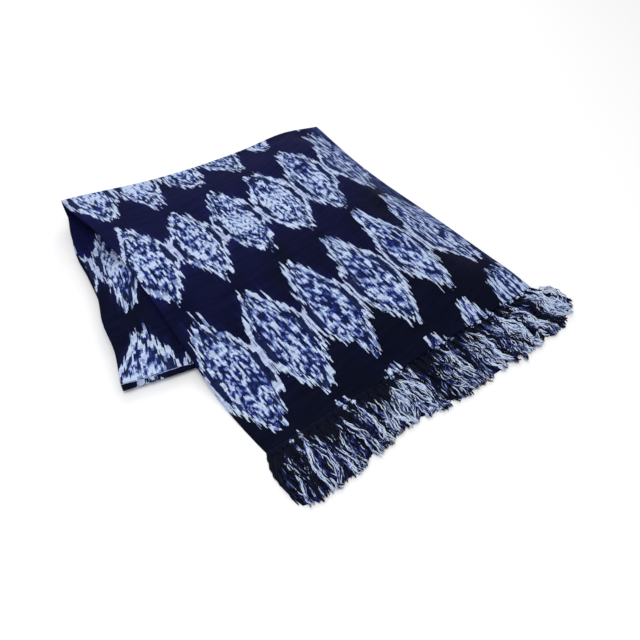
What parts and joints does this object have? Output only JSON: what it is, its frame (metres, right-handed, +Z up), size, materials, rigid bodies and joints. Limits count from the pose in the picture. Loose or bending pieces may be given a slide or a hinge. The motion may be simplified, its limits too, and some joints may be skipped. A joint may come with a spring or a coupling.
{
  "type": "folded fringed scarf",
  "caption": "Woven cotton ikat scarf with a knotted fringe, folded in three and laid flat: top stretch, skewed second stretch, hidden layers and fringe.",
  "frame": {"origin": "centre of the bounding box, on the surface that the scarf lies on", "axes": "+X along the weft towards the right selvage, +Y from the fringed hem back towards the fold, +Z up"},
  "size_m": [0.802, 0.8804, 0.0739],
  "materials": {
    "ikat_cloth": "warp-faced plain weave cotton, faint satin sheen, white and royal blue ikat motifs",
    "knots": "tight dark knots of cotton yarn",
    "fringe_yarn": "loose two-ply cotton strands, white, blue and indigo"
  },
  "bodies": {
    "root": {"top_stretch": "ikat_cloth", "second_stretch": "ikat_cloth", "hidden_layers": "ikat_cloth", "fringe_knots": "knots", "front_fringe": "fringe_yarn"}
  },
  "joints": []
}
